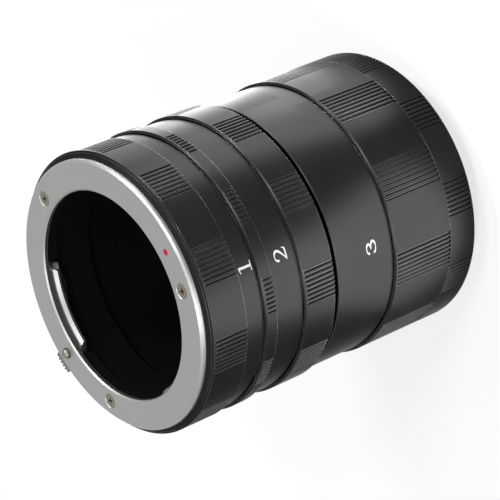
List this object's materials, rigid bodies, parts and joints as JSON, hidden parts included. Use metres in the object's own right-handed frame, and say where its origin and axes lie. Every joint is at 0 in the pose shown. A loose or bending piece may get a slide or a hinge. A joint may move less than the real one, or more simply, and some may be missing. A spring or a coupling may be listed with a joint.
{
  "type": "macro extension tube",
  "caption": "Stack of screwed knurled rings that holds a lens away from a camera body, with a bayonet flange at each end.",
  "frame": {"origin": "on the tube's axis at the end of the camera bayonet's barrel, on which the tube stands", "axes": "+Z along the axis towards the lens; -Y towards the side with the numerals 1, 2 and 3"},
  "size_m": [0.0582, 0.0582, 0.0762],
  "materials": {
    "black_anodised": "black anodised, semi-gloss",
    "satin_metal": "satin silver",
    "screw_steel": "polished steel",
    "spring_steel": "rolled spring steel",
    "lever_metal": "satin silver",
    "index_red": "red paint"
  },
  "bodies": {
    "camera_adapter": {"camera_adapter_housing": "black_anodised", "camera_bayonet": "satin_metal", "bayonet_screw_1": "screw_steel", "bayonet_screw_2": "screw_steel", "bayonet_screw_3": "screw_steel", "rear_index_dot": "index_red"},
    "extension_ring_3": {"ring_3": "black_anodised"},
    "extension_ring_2": {"ring_2": "black_anodised"},
    "extension_ring_1": {"ring_1": "black_anodised"},
    "lens_adapter": {"lens_adapter_housing": "black_anodised", "lens_flange": "satin_metal", "flange_screw_1": "screw_steel", "flange_screw_2": "screw_steel", "flange_screw_3": "screw_steel", "index_dot": "index_red", "leaf_spring_1": "spring_steel", "leaf_spring_2": "spring_steel", "leaf_spring_3": "spring_steel", "lock_spring": "spring_steel"},
    "lens_release": {"release_lever": "lever_metal", "lock_pin": "screw_steel"}
  },
  "joints": [
    {"name": "ring_3_unscrew", "type": "slide", "parent": "camera_adapter", "child": "extension_ring_3", "axis": [0, 0, 1], "range_m": [0, 0.006]},
    {"name": "ring_2_unscrew", "type": "slide", "parent": "extension_ring_3", "child": "extension_ring_2", "axis": [0, 0, 1], "range_m": [0, 0.006]},
    {"name": "ring_1_unscrew", "type": "slide", "parent": "extension_ring_2", "child": "extension_ring_1", "axis": [0, 0, 1], "range_m": [0, 0.006]},
    {"name": "lens_adapter_unscrew", "type": "slide", "parent": "extension_ring_1", "child": "lens_adapter", "axis": [0, 0, 1], "range_m": [0, 0.006]},
    {"name": "lock_release", "type": "slide", "parent": "lens_adapter", "child": "lens_release", "axis": [0, 0, -1], "range_m": [0, 0.0014], "stiffness_N_per_m": 300, "springref_m": -0.003, "deforming": ["lock_spring"]}
  ]
}
